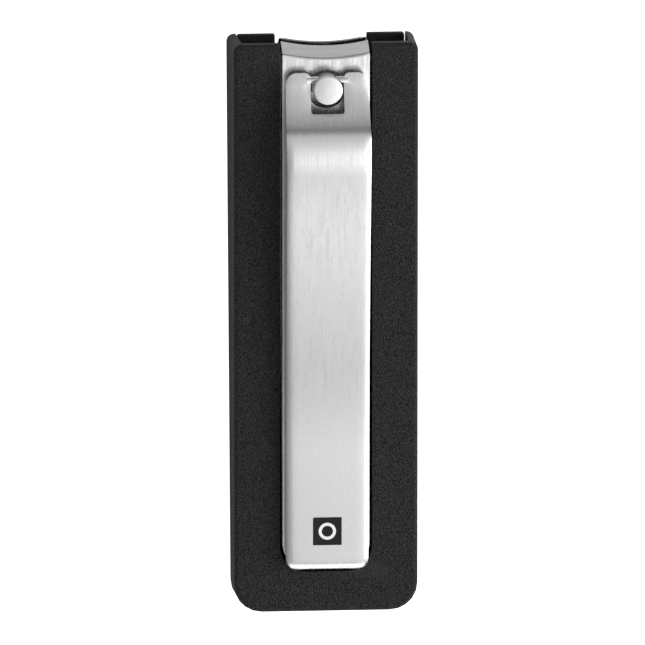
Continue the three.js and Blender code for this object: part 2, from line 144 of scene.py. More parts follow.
def apply_modifier(piece: Object, kind: str, **settings: object) -> None:
    """Add a modifier with its settings and apply it.

    Args:
        piece: The object that takes the modifier.
        kind: The modifier's type, such as BEVEL.
        **settings: Its properties by name.
    """
    activate(piece)
    modifier = piece.modifiers.new(kind.title(), kind)
    for name, value in settings.items():
        setattr(modifier, name, value)
    bpy.ops.object.modifier_apply(modifier=modifier.name)


def settle(piece: Object, place: Matrix | None = None) -> None:
    """Put a piece at its place and leave its object at the origin, unturned and unscaled.

    Args:
        piece: The object to place.
        place: The transform that takes the modelled shape to the row frame.
    """
    activate(piece)
    if place is not None:
        piece.matrix_world = place @ piece.matrix_world
    bpy.ops.object.transform_apply(location=True, rotation=True, scale=True)


def smooth(piece: Object, degrees: float = 32) -> None:
    """Shade a piece smooth, with its corners sharper than an angle kept crisp."""
    activate(piece)
    bpy.ops.object.shade_smooth_by_angle(angle=math.radians(degrees))


def refined_copy(node: str, name: str) -> Object:
    """A copy of a CAD node with its loose triangles welded and its flat faces made whole.

    Args:
        node: The CAD node's name.
        name: The new piece's name.

    Returns:
        The new object, which replaces the node.
    """
    deselect_all()
    piece = frame["nodes"][node].copy()
    piece.data = piece.data.copy()
    piece.name = piece.data.name = name
    for key in [key for key in piece.keys() if key.startswith("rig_")]:
        del piece[key]
    piece.parent = None
    bpy.context.scene.collection.objects.link(piece)
    activate(piece)
    if piece.data.has_custom_normals:
        bpy.ops.mesh.customdata_custom_splitnormals_clear()
    bpy.ops.object.mode_set(mode="EDIT")
    bpy.ops.mesh.select_all(action="SELECT")
    bpy.ops.mesh.remove_doubles(threshold=1e-6)
    bpy.ops.mesh.dissolve_limited(angle_limit=math.radians(0.1))
    bpy.ops.object.mode_set(mode="OBJECT")
    piece.data.materials.clear()
    return piece


def dress_faces(piece: Object, material: int, test: Callable[..., bool]) -> None:
    """Give the faces that pass a test another of the piece's materials.

    Args:
        piece: The object, its materials already in place.
        material: The place of the material in the piece's list.
        test: Takes a bmesh face and says whether it is wanted.
    """
    activate(piece)
    bpy.ops.object.mode_set(mode="EDIT")
    pick(piece, "FACE", test)
    piece.active_material_index = material
    bpy.ops.object.material_slot_assign()
    bpy.ops.object.mode_set(mode="OBJECT")


def level_normals(piece: Object) -> None:
    """Keep large flat faces flat in the light, with the turn taken up by the narrow ones."""
    apply_modifier(piece, "WEIGHTED_NORMAL", keep_sharp=True, weight=100)


def round_edges(piece: Object, width: float, sharper_than: float, segments: int = 2) -> None:
    """Round the edges of a piece that are sharper than an angle.

    Args:
        piece: The object.
        width: The width of the rounding.
        sharper_than: The angle in degrees.
        segments: How many faces the rounding has.
    """
    apply_modifier(
        piece,
        "BEVEL",
        width=width,
        segments=segments,
        limit_method="ANGLE",
        angle_limit=math.radians(sharper_than),
        use_clamp_overlap=True,
        miter_outer="MITER_SHARP",
        harden_normals=False,
    )


# Finishes


class Direction(Enum):
    """The way that a ground or brushed surface's lines run."""

    LENGTHWISE = (1.0, 0.07, 0.3)
    CROSSWISE = (0.03, 1.0, 1.0)
    TURNED = (1.0, 1.0, 1.0)


def feed(tree: NodeTree, node: Node, values: dict[str | int, object]) -> None:
    """Join inputs of a node to sockets, or set them to constants.

    Args:
        tree: The node tree.
        node: The node in it.
        values: The socket or constant of each input, by name or number.
    """
    for name, value in values.items():
        if isinstance(value, NodeSocket):
            tree.links.new(value, node.inputs[name])
        else:
            node.inputs[name].default_value = value


def add_node(
    tree: NodeTree,
    kind: str,
    values: dict[str | int, object] | None = None,
    **settings: object,
) -> Node:
    """Add a node to a tree.

    Args:
        tree: The node tree.
        kind: The node's type name, without the ShaderNode prefix.
        values: The socket or constant of each input, by name or number.
        **settings: Properties by name.

    Returns:
        The node.
    """
    node = tree.nodes.new("ShaderNode" + kind)
    for name, value in settings.items():
        setattr(node, name, value)
    feed(tree, node, values or {})
    return node


def spaced(values: dict[str, object]) -> dict[str, object]:
    """Input names written with _ for a space, as the nodes spell them."""
    return {name.replace("_", " "): value for name, value in values.items()}


class Group:
    """A shader node group of float sockets, under construction."""

    def __init__(self, name: str, inputs: dict[str, float], outputs: tuple[str, ...]) -> None:
        """Start a group.

        Args:
            name: The group's name.
            inputs: Its inputs by name, with their defaults.
            outputs: Its outputs' names.
        """
        self.tree = bpy.data.node_groups.new(name, "ShaderNodeTree")
        sockets = self.tree.interface
        for label, value in inputs.items():
            socket = sockets.new_socket(name=label, in_out="INPUT", socket_type="NodeSocketFloat")
            socket.default_value = value
        for label in outputs:
            sockets.new_socket(name=label, in_out="OUTPUT", socket_type="NodeSocketFloat")
        self.start = self.tree.nodes.new("NodeGroupInput").outputs
        self.end = self.tree.nodes.new("NodeGroupOutput")

    def node(
        self, kind: str, values: dict[str | int, object] | None = None, **settings: object
    ) -> NodeOutputs:
        """Add a node, fed and with its properties set, and give its outputs."""
        return add_node(self.tree, kind, values, **settings).outputs

    def math(self, operation: str, *operands: object) -> NodeSocket:
        """Add a math node on sockets and constants, and give its result."""
        return self.node("Math", dict(enumerate(operands)), operation=operation)[0]

    def finish(self, **results: NodeSocket) -> NodeTree:
        """Join the results to the group's outputs, and give the tree."""
        feed(self.tree, self.end, results)
        return self.tree


def mould_grain_group() -> NodeTree:
    """Fine spark-eroded grain, as a height and as a shade that varies from pit to pit.

    Returns:
        The node group.
    """
    group = Group("Mould grain", {"Grain size": 0.0003}, ("Height", "Shade"))
    where = {
        "Vector": group.node("TexCoord")["Object"],
        "Scale": group.math("DIVIDE", 1.0, group.start["Grain size"]),
    }
    pits = group.node("TexVoronoi", {**where, "Smoothness": 0.6}, feature="SMOOTH_F1")
    speckle = group.node("TexNoise", {**where, "Detail": 1.0, "Roughness": 0.5})["Fac"]
    shade = group.node("MapRange", {"Value": speckle, "From Min": 0.44, "From Max": 0.56})
    height = group.math("MULTIPLY_ADD", pits["Distance"], 1.2, speckle)
    return group.finish(Height=height, Shade=shade[0])


def brush_group(direction: Direction) -> NodeTree:
    """Lines left by grinding or brushing, at a fine and at a broad width.

    Args:
        direction: The way that the lines run.

    Returns:
        The node group, with a Line width input, and Height and Tone outputs.
    """
    group = Group(
        f"Brush {direction.name.lower()}",
        {"Line width": 0.00006, "Centre Y": 0.0},
        ("Height", "Tone"),
    )
    source = group.node("TexCoord")["Object"]
    if direction is Direction.TURNED:
        axes = group.node("SeparateXYZ", {0: source})
        offset = group.math("SUBTRACT", axes["Y"], group.start["Centre Y"])
        flat = group.node("CombineXYZ", {"X": axes["X"], "Y": offset})[0]
        reach = group.node("VectorMath", {0: flat}, operation="LENGTH")["Value"]
        source = group.node("CombineXYZ", {"X": reach, "Z": axes["Z"]})[0]
    stretch = group.node("Mapping", {"Vector": source, "Scale": direction.value})[0]
    scale = group.math("DIVIDE", 1.0, group.start["Line width"])
    fine = group.node(
        "TexNoise", {"Vector": stretch, "Scale": scale, "Detail": 4.0, "Roughness": 0.7}
    )["Fac"]
    wide = group.node(
        "TexNoise",
        {"Vector": stretch, "Scale": group.math("MULTIPLY", scale, 0.22), "Detail": 2.0},
    )["Fac"]
    blend = group.math("MULTIPLY_ADD", fine, 0.5, group.math("MULTIPLY", wide, 0.5))
    tone = group.node("MapRange", {"Value": blend, "From Min": 0.36, "From Max": 0.64})
    return group.finish(Height=fine, Tone=tone[0])


def edge_wear_group() -> NodeTree:
    """How far a place stands on a pointed edge, from 0 to 1: rubbed wear, and a painted highlight
    on rounded edges.

    Returns:
        The node group.
    """
    group = Group("Edge wear", {"Reach": 0.06}, ("Mask",))
    rub = group.node(
        "MapRange",
        {
            "Value": group.node("NewGeometry")["Pointiness"],
            "From Min": EDGE_POINTINESS,
            "From Max": group.math("ADD", EDGE_POINTINESS, group.start["Reach"]),
        },
    )
    place = group.node("TexCoord")["Object"]
    patches = group.node("TexNoise", {"Vector": place, "Scale": 900.0})
    return group.finish(Mask=group.math("MULTIPLY", rub[0], patches["Fac"]))


def zone_group() -> NodeTree:
    """A soft zone across a piece at a place along Y, from 0 outside it to 1 in its middle.

    Returns:
        The node group.
    """
    group = Group("Zone", {"Centre": 0.0, "Reach": 0.01}, ("Mask",))
    axes = group.node("SeparateXYZ", {0: group.node("TexCoord")["Object"]})
    offset = group.math("SUBTRACT", axes["Y"], group.start["Centre"])
    mask = group.node(
        "MapRange",
        {
            "Value": group.math("ABSOLUTE", offset),
            "From Max": group.start["Reach"],
            "To Min": 1.0,
            "To Max": 0.0,
        },
        interpolation_type="SMOOTHSTEP",
    )
    return group.finish(Mask=mask[0])


@dataclass
class Workshop:
    """The node groups that several finishes use, each built once."""

    zone: NodeTree = field(default_factory=zone_group)
    grain: NodeTree = field(default_factory=mould_grain_group)
    wear: NodeTree = field(default_factory=edge_wear_group)
    brushes: dict[Direction, NodeTree] = field(
        default_factory=lambda: {way: brush_group(way) for way in Direction}
    )


class Material:
    """A material under construction: its tree, its shader and the groups placed in it."""

    def __init__(self, name: str) -> None:
        """Start a material with one Principled shader.

        Args:
            name: The material's name.
        """
        self.made = bpy.data.materials.new(name)
        self.made.use_nodes = True
        self.tree = self.made.node_tree
        self.shader = self.tree.nodes["Principled BSDF"]

    def surface(self, **values: object) -> None:
        """Join or set inputs of the shader, by name with _ for a space."""
        feed(self.tree, self.shader, spaced(values))

    def group(self, tree: NodeTree, **values: float) -> NodeOutputs:
        """Place a node group with its inputs set, and give its outputs."""
        return add_node(self.tree, "Group", spaced(values), node_tree=tree).outputs

    def spread(self, source: NodeSocket, low: float, high: float) -> NodeSocket:
        """A value from 0 to 1 spread between two values."""
        values = {"Value": source, "To Min": low, "To Max": high}
        return add_node(self.tree, "MapRange", values).outputs[0]

    def mixed(
        self,
        factor: NodeSocket,
        low: NodeSocket | tuple[float, float, float],
        high: tuple[float, float, float],
    ) -> NodeSocket:
        """A colour between two, by a factor.

        Args:
            factor: The socket that gives the factor.
            low: The colour, or the socket that gives it, at 0.
            high: The colour at 1.

        Returns:
            The mixed colour's socket.
        """
        start = (*low, 1) if isinstance(low, tuple) else low
        values = {"Factor": factor, "A": start, "B": (*high, 1)}
        return add_node(self.tree, "Mix", values, data_type="RGBA").outputs["Result"]

    def bump(self, height: NodeSocket, depth: float, strength: float) -> None:
        """Feed a height to the shader's normal."""
        values = {"Height": height, "Distance": depth, "Strength": strength}
        self.surface(Normal=add_node(self.tree, "Bump", values).outputs["Normal"])


@dataclass(frozen=True)
class MouldedPlastic:
    """Black moulded plastic with a fine grain, a little brighter on its edges: rubbed wear, and a
    painted highlight on the rounded edges.
    """

    name: str
    dark: tuple[float, float, float]
    light: tuple[float, float, float]
    worn: tuple[float, float, float]
    roughness: tuple[float, float] = (0.5, 0.66)
    specular: float = 0.16
    grain_size: float = 0.16 * MM
    grain_depth: float = 0.12 * MM

    def material(self, workshop: Workshop) -> bpy.types.Material:
        """Build the material.

        Args:
            workshop: The shared node groups.

        Returns:
            The material.
        """
        made = Material(self.name)
        grain = made.group(workshop.grain, Grain_size=self.grain_size)
        # Rubbed wear and painted highlight: pointed edges take the brighter edge colour.
        wear = made.group(workshop.wear, Reach=0.1)
        colour = made.mixed(grain["Shade"], self.dark, self.light)
        made.surface(
            Base_Color=made.mixed(wear["Mask"], colour, self.worn),
            Roughness=made.spread(grain["Shade"], *self.roughness),
            Metallic=0.0,
            Specular_IOR_Level=self.specular,
        )
        made.bump(grain["Height"], self.grain_depth, 0.8)
        return made.made


@dataclass(frozen=True)
class Zone:
    """A stretch of a piece painted lighter or darker than the rest: painted sheen, standing in for
    how a softbox's reflection falls along it.
    """

    centre: float
    reach: float
    colour: tuple[float, float, float]


@dataclass(frozen=True)
class GroundSteel:
    """Stainless steel with brush lines, each a little lighter or darker than the next."""

    name: str
    direction: Direction
    dark: tuple[float, float, float]
    light: tuple[float, float, float]
    roughness: tuple[float, float] = (0.24, 0.38)
    line_width: float = 0.07 * MM
    line_depth: float = 0.0006 * MM
    centre_y: float = 0.0
    zones: tuple[Zone, ...] = ()

    def material(self, workshop: Workshop) -> bpy.types.Material:
        """Build the material.

        Args:
            workshop: The shared node groups.

        Returns:
            The material.
        """
        made = Material(self.name)
        brushes = workshop.brushes[self.direction]
        brush = made.group(brushes, Line_width=self.line_width, Centre_Y=self.centre_y)
        # Rubbed wear and painted highlight: pointed edges take the steel's light tone.
        wear = made.group(workshop.wear, Reach=0.15)
        colour = made.mixed(brush["Tone"], self.dark, self.light)
        # Painted sheen: each band mixes the steel's colour towards a lighter or darker one,
        # standing in for the reflection's brightness there.
        for zone in self.zones:
            mask = made.group(workshop.zone, Centre=zone.centre, Reach=zone.reach)
            colour = made.mixed(made.spread(mask["Mask"], 0.0, 0.8), colour, zone.colour)
        made.surface(
            Base_Color=made.mixed(wear["Mask"], colour, self.light),
            Roughness=made.spread(brush["Tone"], self.roughness[1], self.roughness[0]),
            Metallic=1.0,
        )
        made.bump(brush["Height"], self.line_depth, 1.0)
        return made.made


# The front face, which most pieces are laid out on


@dataclass(frozen=True)
class FrontFace:
    """The sloping front face of the housing, as a frame: y runs up the face, z stands off it."""

    jaw_height: float = 10 * MM
    tail_height: float = 5 * MM
    low: Vector = field(default_factory=lambda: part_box("catcher_body")[0])
    high: Vector = field(default_factory=lambda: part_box("catcher_body")[1])

    @property
    def length(self) -> float:
        """The housing's length."""
        return self.high.y - self.low.y

    @property
    def slope(self) -> float:
        """The face's slope."""
        return math.atan2(self.jaw_height - self.tail_height, self.length)

    @property
    def place(self) -> Matrix:
        """The transform from the face's frame to the row frame."""
        rise = (self.jaw_height + self.tail_height) / 2
        return Matrix.Translation((0, 0, rise)) @ Matrix.Rotation(self.slope, 4, "X")

    def local(self, point: Vector) -> Vector:
        """A row point in the face's frame."""
        return self.place.inverted() @ point


def joint(name: str) -> dict:
    """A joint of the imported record, by name."""
    return next(item for item in frame["joints"] if item["name"] == name)


# Sub-assemblies


@dataclass
class CatcherHousing:
    """The black wedge-shaped housing: the front shell and the inset back cover."""

    workshop: Workshop
    edge_width: float = 0.14 * MM
    # The last colour is the edge colour: rubbed wear, and a painted highlight on the rounded edges.
    shell: MouldedPlastic = MouldedPlastic(
        "Housing plastic", (0.0008, 0.0008, 0.0009), (0.0235, 0.0235, 0.0243), (0.024, 0.024, 0.025)
    )
    cover: MouldedPlastic = MouldedPlastic(
        "Cover plastic", (0.0008, 0.0008, 0.0009), (0.021, 0.021, 0.0216), (0.022, 0.022, 0.023)
    )

    def build(self) -> list[Object]:
        """Make and dress the two shells.

        Returns:
            The shell and the cover.
        """
        made = []
        for node, slot, finish in (
            ("catcher_body", "housing_plastic", self.shell),
            ("back_cover", "cover_plastic", self.cover),
        ):
            piece = refined_copy(node, node + "_shell")
            round_edges(piece, self.edge_width, 38, 3)
            smooth(piece)
            level_normals(piece)
            piece.data.materials.append(finish.material(self.workshop))
            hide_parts(node)
            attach(piece, "case")
            made.append(piece)
        return made


@dataclass
class BladePair:
    """The two leaves with their blades, and the rivets that join their tails."""

    workshop: Workshop
    edge_width: float = 0.09 * MM
    blade_length: float = 4 * MM
    edge_share: float = 0.85
    land_width: float = 0.16 * MM
    land_depth: float = 0.12 * MM
    leaf_rise: float = 1 * MM
    rim_reach: float = 1 * MM
    rim_depth: float = 0.1 * MM
    steel: GroundSteel = GroundSteel(
        "Leaf steel",
        Direction.LENGTHWISE,
        (0.47, 0.47, 0.465),
        (0.62, 0.62, 0.615),
        roughness=(0.22, 0.32),
    )
    blade_steel: GroundSteel = GroundSteel(
        "Blade steel",
        Direction.CROSSWISE,
        (0.4, 0.4, 0.4),
        (0.5, 0.5, 0.495),
        roughness=(0.3, 0.4),
    )
    rivet_steel: GroundSteel = GroundSteel(
        "Rivet steel", Direction.LENGTHWISE, (0.5, 0.5, 0.5), (0.66, 0.66, 0.66)
    )

    def build(self) -> list[Object]:
        """Make and dress the leaves and rivets.

        Returns:
            The two leaves and the two rivets.
        """
        made = []
        steel = self.steel.material(self.workshop)
        blade_steel = self.blade_steel.material(self.workshop)
        for node, body in (("upper_leaf", "upper_leaf"), ("lower_leaf", "case")):
            piece = refined_copy(node, node + "_steel")
            if node == "lower_leaf":
                self.broaden_land(piece)
            round_edges(piece, self.edge_width, 35, 2)
            smooth(piece, 28)
            level_normals(piece)
            for finish in (steel, blade_steel):
                piece.data.materials.append(finish)
            jaw = max(vert.co.y for vert in piece.data.vertices) - self.blade_length
            edge = jaw + self.edge_share * self.blade_length
            tip = max(vert.co.z for vert in piece.data.vertices if vert.co.y > edge)
            land = tip + (-self.land_depth if node == "lower_leaf" else self.leaf_rise)
            dress_faces(
                piece,
                1,
                lambda face: face.calc_center_median().y > jaw
                and (face.normal.y > 0.3 or face.calc_center_median().z > land),
            )
            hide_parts(node)
            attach(piece, body)
            made.append(piece)
        rivet_steel = self.rivet_steel.material(self.workshop)
        for node in ("leaf_rivet_left", "leaf_rivet_right"):
            piece = refined_copy(node, node + "_steel")
            smooth(piece, 30)
            piece.data.materials.append(rivet_steel)
            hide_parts(node)
            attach(piece, "case")
            made.append(piece)
        return made

    def broaden_land(self, piece: Object) -> None:
        """Draw the lower blade's cutting edge forward, so that its ground land shows.

        Args:
            piece: The lower leaf.
        """
        activate(piece)
        places = [vert.co.copy() for vert in piece.data.vertices]
        jaw_end = max(place.y for place in places)
        places = [place for place in places if place.y > jaw_end - self.rim_reach]
        low = max(place.z for place in places) - self.rim_depth
        outer: dict[float, float] = {}
        for place in places:
            if place.z > low:
                column = round(place.x, 5)
                outer[column] = max(outer.get(column, place.y), place.y)
        bpy.ops.object.mode_set(mode="EDIT")
        for column, y in outer.items():
            pick(
                piece,
                "VERT",
                lambda vert: abs(vert.co.x - column) < NEAR
                and abs(vert.co.y - y) < NEAR / 2
                and vert.co.z > low,
            )
            reach = min(self.land_width, jaw_end + NEAR - y)
            bpy.ops.transform.translate(value=(0, reach, 0))
        bpy.ops.object.mode_set(mode="OBJECT")


@dataclass
class PivotPin:
    """The turned pin: foot, shank, neck and head, standing square between the leaves."""

    workshop: Workshop
    radius: float = 1.76 * MM
    neck_radius: float = 1.15 * MM
    neck_height: float = 1.45 * MM
    head_thickness: float = 0.95 * MM
    head_chamfer: float = 0.17 * MM
    foot_radius: float = 3.25 * MM
    foot_thickness: float = 0.65 * MM
    sides: int = 96

    def build(self) -> Object:
        """Turn the pin from one disc, extruded and stepped upwards, and dress it.

        Returns:
            The pin.
        """
        turn = joint("pin_turn")
        neck_middle = Vector(turn["pos_m"])
        axis = Vector(turn["axis"]).normalized()
        foot_low = self.foot_bottom(neck_middle, axis)
        deselect_all()
        bpy.ops.mesh.primitive_cylinder_add(
            vertices=self.sides,
            radius=self.foot_radius,
            depth=self.foot_thickness,
            location=(0, 0, foot_low + self.foot_thickness / 2),
        )
        piece = bpy.context.object
        piece.name = piece.data.name = "pivot_pin_turned"
        settle(piece)
        bpy.ops.object.mode_set(mode="EDIT")
        neck_low = -self.neck_height / 2
        neck_top = self.neck_height / 2
        self.step(piece, self.foot_radius, self.radius, neck_low - foot_low - self.foot_thickness)
        self.step(piece, self.radius, self.neck_radius, self.neck_height)
        self.step(piece, self.neck_radius, self.radius, self.head_thickness)
        bpy.ops.object.mode_set(mode="OBJECT")
        self.soften_rims(piece, neck_top + self.head_thickness, foot_low)
        tilt = Z_AXIS.rotation_difference(axis).to_matrix().to_4x4()
        settle(piece, Matrix.Translation(neck_middle) @ tilt)
        smooth(piece, 35)
        steel = GroundSteel(
            "Pin steel",
            Direction.TURNED,
            (0.56, 0.56, 0.555),
            (0.64, 0.64, 0.635),
            roughness=(0.3, 0.4),
            line_width=0.09 * MM,
            line_depth=0.0006 * MM,
            centre_y=neck_middle.y,
        )
        piece.data.materials.append(steel.material(self.workshop))
        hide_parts("pivot_pin")
        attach(piece, "pin")
        return piece

    def foot_bottom(self, neck_middle: Vector, axis: Vector) -> float:
        """Where the foot's underside lies along the axis, from the neck's middle.

        Args:
            neck_middle: The middle of the neck in the row frame.
            axis: The pin's direction.

        Returns:
            The distance along the axis, below zero.
        """
        verts = frame["nodes"]["pivot_pin"].data.vertices
        return min((vert.co - neck_middle).dot(axis) for vert in verts)

    def step(self, piece: Object, old: float, new: float, height: float) -> None:
        """Step the top disc to a new radius, flat, and raise it.

        Args:
            piece: The pin in edit mode.
            old: The top disc's radius now.
            new: The radius it steps to.
            height: How far it is then raised.
        """
        top = max(vert.co.z for vert in bmesh.from_edit_mesh(piece.data).verts)
        pick(
            piece,
            "FACE",
            lambda face: face.normal.z > 0.9 and face.calc_center_median().z > top - WELD,
        )
        bpy.ops.mesh.extrude_region_move()
        share = new / old
        bpy.ops.transform.resize(value=(share, share, 1), center_override=(0, 0, top))
        bpy.ops.mesh.extrude_region_move(TRANSFORM_OT_translate={"value": (0, 0, height)})

    def soften_rims(self, piece: Object, head_top: float, foot_low: float) -> None:
        """Chamfer the head's rim and round the foot's top and bottom rims.

        Args:
            piece: The pin.
            head_top: The height of the head's face.
            foot_low: The height of the foot's underside.
        """
        activate(piece)
        bpy.ops.object.mode_set(mode="EDIT")
        pick(piece, "EDGE", lambda edge: all(vert.co.z > head_top - WELD for vert in edge.verts))
        bpy.ops.mesh.bevel(offset=self.head_chamfer, segments=4, affect="EDGES")
        foot_top = foot_low + self.foot_thickness
        pick(
            piece,
            "EDGE",
            lambda edge: all(vert.co.z < foot_top + WELD for vert in edge.verts)
            and abs(middle(edge).xy.length - self.foot_radius) < NEAR
            and abs(edge.verts[0].co.z - edge.verts[1].co.z) < WELD,
        )
        bpy.ops.mesh.bevel(offset=self.head_chamfer, segments=3, affect="EDGES")
        bpy.ops.object.mode_set(mode="OBJECT")


@dataclass
class Lever:
    """The brushed lever: forked nose, hollow up to the knee, crest, and a long falling back."""

    workshop: Workshop
    face: FrontFace
    thickness: float = 1.15 * MM
    knee_half: float = 5.1 * MM
    nose_half: float = 4.97 * MM
    tail_half: float = 4.98 * MM
    nose_reach: float = 1.95 * MM
    knee_reach: float = 5.2 * MM
    crest_reach: float = 8.7 * MM
    fork_reach: float = 2.8 * MM
    fork_half: float = 2.035 * MM
    fork_corner: float = 0.35 * MM
    knee_rise: float = 5.05 * MM
    crest_rise: float = 5.35 * MM
    tail_rise: float = 2.03 * MM
    tip_slope: float = math.radians(1.9)
    knee_slope: float = math.radians(45)
    tip_outer: float = 1.3 * MM
    tip_inner: float = 0.75 * MM
    tail_corner: float = 1.2 * MM
    roll_width: float = 0.95 * MM
    roll_depth: float = 0.22 * MM
    roll_lines: tuple[float, ...] = (0.1, 0.22, 0.36, 0.55, 0.75, 0.95)
    roll_power: float = 2.2
    roll_step: float = 0.002 * MM
    nose_roll: float = 0.35
    crown: float = 0.025 * MM
    rim_width: float = 0.16 * MM
    knee_blend: tuple[float, float] = (4.8 * MM, 6.9 * MM)
    back_handles: tuple[tuple[float, float], ...] = ((0.085, 0.955), (0.383, 0.096))
    back_stations: int = 34
    flat_lines: tuple[float, ...] = (-3.4, 0, 3.4)
    lug_radius: float = 0.45 * MM
    lug_end: float = 1.05 * MM
    lug_round: float = 0.1 * MM
    # Painted shade: the underside is the lever's own steel painted darker, for the shade beneath
    # the lever that the leaf reflects.
    under_steel: GroundSteel = GroundSteel(
        "Lever underside", Direction.LENGTHWISE, (0.2, 0.2, 0.2), (0.27, 0.27, 0.268), (0.32, 0.44)
    )
    steel: GroundSteel = GroundSteel(
        "Lever steel",
        Direction.LENGTHWISE,
        (0.56, 0.56, 0.555),
        (0.64, 0.64, 0.635),
        (0.24, 0.34),
        # Painted sheen: bands along the lever painted lighter and darker, standing in for how the
        # softbox's reflection falls along it.
        zones=(
            Zone(13 * MM, 11 * MM, (0.7, 0.7, 0.695)),
            Zone(-5.5 * MM, 11 * MM, (0.5, 0.5, 0.495)),
            Zone(-27 * MM, 16 * MM, (0.51, 0.51, 0.505)),
        ),
    )

    def __post_init__(self) -> None:
        """Take the lever's ends and the pin's place from the frame."""
        verts = [self.face.local(vert.co) for vert in frame["nodes"]["lever"].data.vertices]
        self.tip_y = max(vert.y for vert in verts if vert.z > self.crest_rise / 4)
        self.pin_y = self.tip_y - self.nose_reach
        self.tail_y = min(vert.y for vert in verts if abs(vert.z - self.tail_rise) < 0.1 * MM)
        self.lug_place = self.face.local(Vector(joint("lever_tilt")["pos_m"]))

    def rise(self, y: float) -> float:
        """How high the lever's upper face stands off the front face.

        Args:
            y: The place along the face.

        Returns:
            The height.
        """
        reach = self.pin_y - y
        start, end = self.knee_blend
        if reach < start:
            return self.nose_rise(reach)
        if reach < end:
            return self.knee_rise_at(reach)
        if reach < self.crest_reach:
            return self.shoulder_rise(reach)
        return self.back_rise(reach)

    def shoulder_rise(self, reach: float) -> float:
        """The height of the shoulder between the knee and the crest."""
        share = (reach - self.knee_reach) / (self.crest_reach - self.knee_reach)
        return self.crest_rise - (self.crest_rise - self.knee_rise) * (1 - share) ** 2

    def knee_rise_at(self, reach: float) -> float:
        """The height of the rounded knee, a curve that stays inside its sharp corner.

        Args:
            reach: How far behind the pin.

        Returns:
            The height off the front face.
        """
        start, end = self.knee_blend
        before, after = self.knee_reach - start, end - self.knee_reach
        bend = after - before
        t = (math.sqrt(before**2 + bend * (reach - start)) - before) / bend
        low, high = self.nose_rise(start), self.shoulder_rise(end)
        return (1 - t) ** 2 * low + 2 * (1 - t) * t * self.knee_rise + t**2 * high

    def edge_distance(self, x: float, y: float) -> float:
        """How far a place on the flat blank lies in from the outline, the fork left out.

        Args:
            x: The place across the lever.
            y: The place along the lever.

        Returns:
            The distance.
        """
        half_length = (self.tip_y - self.tail_y) / 2
        middle_y = (self.tip_y + self.tail_y) / 2
        across = abs(x) - (self.knee_half - self.tail_corner)
        lengthwise = abs(y - middle_y) - (half_length - self.tail_corner)
        outside = math.hypot(max(across, 0), max(lengthwise, 0))
        return self.tail_corner - outside - min(max(across, lengthwise), 0)

    def roll(self, x: float, y: float) -> float:
        """How far the upper face is rolled down at a place, towards the rim of the back.

        Args:
            x: The place across the lever.
            y: The place along the lever.

        Returns:
            The drop.
        """
        reach = self.pin_y - y
        share = min(max((reach - self.knee_reach) / (self.crest_reach - self.knee_reach), 0), 1)
        share = self.nose_roll + (1 - self.nose_roll) * share * share * (3 - 2 * share)
        inward = min(max(self.edge_distance(x, y) / self.roll_width, 0), 1)
        crowned = self.crown * (x / self.knee_half) ** 2
        return self.roll_depth * share * (1 - inward) ** self.roll_power + crowned

    def nose_rise(self, reach: float) -> float:
        """The height of the nose's hollow arc at a reach behind the pin.

        Args:
            reach: How far behind the pin.

        Returns:
            The height off the front face.
        """
        run = self.nose_reach + self.knee_reach
        span = math.sin(self.knee_slope) - math.sin(self.tip_slope)
        radius = run / span
        slope = math.asin(math.sin(self.tip_slope) + (reach + self.nose_reach) / radius)
        return self.knee_rise - radius * (math.cos(slope) - math.cos(self.knee_slope))

    def back_rise(self, reach: float) -> float:
        """The height of the long back, a cubic curve from the crest to the tail.

        Args:
            reach: How far behind the pin.

        Returns:
            The height off the front face.
        """
        (along_1, left_1), (along_2, left_2) = self.back_handles
        target = (reach - self.crest_reach) / (self.pin_y - self.crest_reach - self.tail_y)
        low, high = 0.0, 1.0
        for _ in range(SEARCH_STEPS):
            t = (low + high) / 2
            at = 3 * (1 - t) ** 2 * t * along_1 + 3 * (1 - t) * t**2 * along_2 + t**3
            low, high = (t, high) if at < target else (low, t)
        left = (1 - t) ** 3 + 3 * (1 - t) ** 2 * t * left_1 + 3 * (1 - t) * t**2 * left_2
        return self.tail_rise + (self.crest_rise - self.tail_rise) * left

    def half_width(self, y: float) -> float:
        """Half the lever's width at a place along it.

        Args:
            y: The place along the lever.

        Returns:
            Half the width.
        """
        reach = self.pin_y - y
        if reach < self.knee_reach:
            share = (reach + self.nose_reach) / (self.knee_reach + self.nose_reach)
            return self.nose_half + (self.knee_half - self.nose_half) * share
        share = (reach - self.knee_reach) / (self.pin_y - self.knee_reach - self.tail_y)
        return self.knee_half + (self.tail_half - self.knee_half) * share

    def stations(self) -> list[float]:
        """The places along the lever where a line crosses it.

        Returns:
            The places, from the nose to the tail.
        """
        nose = [0.45, -0.4, -1.25, -2.1, -self.fork_reach / MM, -3.3, -3.75, -4.15, -4.5, -4.8]
        shoulder = [-4.9, -5.05, -5.25, -5.5, -5.8, -6.15, -6.5, -6.9, -7.4, -8.0, -8.7]
        places = [self.pin_y + reach * MM for reach in nose + shoulder]
        start = places[-1]
        run = self.tail_y + 1.4 * MM - start
        steps = self.back_stations
        return places + [start + run * (i / steps) for i in range(1, steps + 1)]

    def build(self) -> Object:
        """Model, place and dress the lever.

        Returns:
            The lever.
        """
        piece = self.flat_blank()
        self.lift(piece)
        apply_modifier(piece, "SOLIDIFY", thickness=self.thickness, offset=-1, use_even_offset=True)
        self.round_fork(piece)
        apply_modifier(
            piece,
            "BEVEL",
            width=self.rim_width,
            segments=3,
            limit_method="ANGLE",
            angle_limit=math.radians(45),
            use_clamp_overlap=True,
            miter_outer="MITER_SHARP",
        )
        self.add_lugs(piece)
        settle(piece, self.face.place)
        smooth(piece, 22)
        for finish in (self.steel, self.under_steel):
            piece.data.materials.append(finish.material(self.workshop))
        # Faces that look down take the darker copy: painted shade under the lever.
        dress_faces(piece, 1, lambda face: face.normal.z < -0.5)
        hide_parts("lever")
        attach(piece, "lever")
        return piece

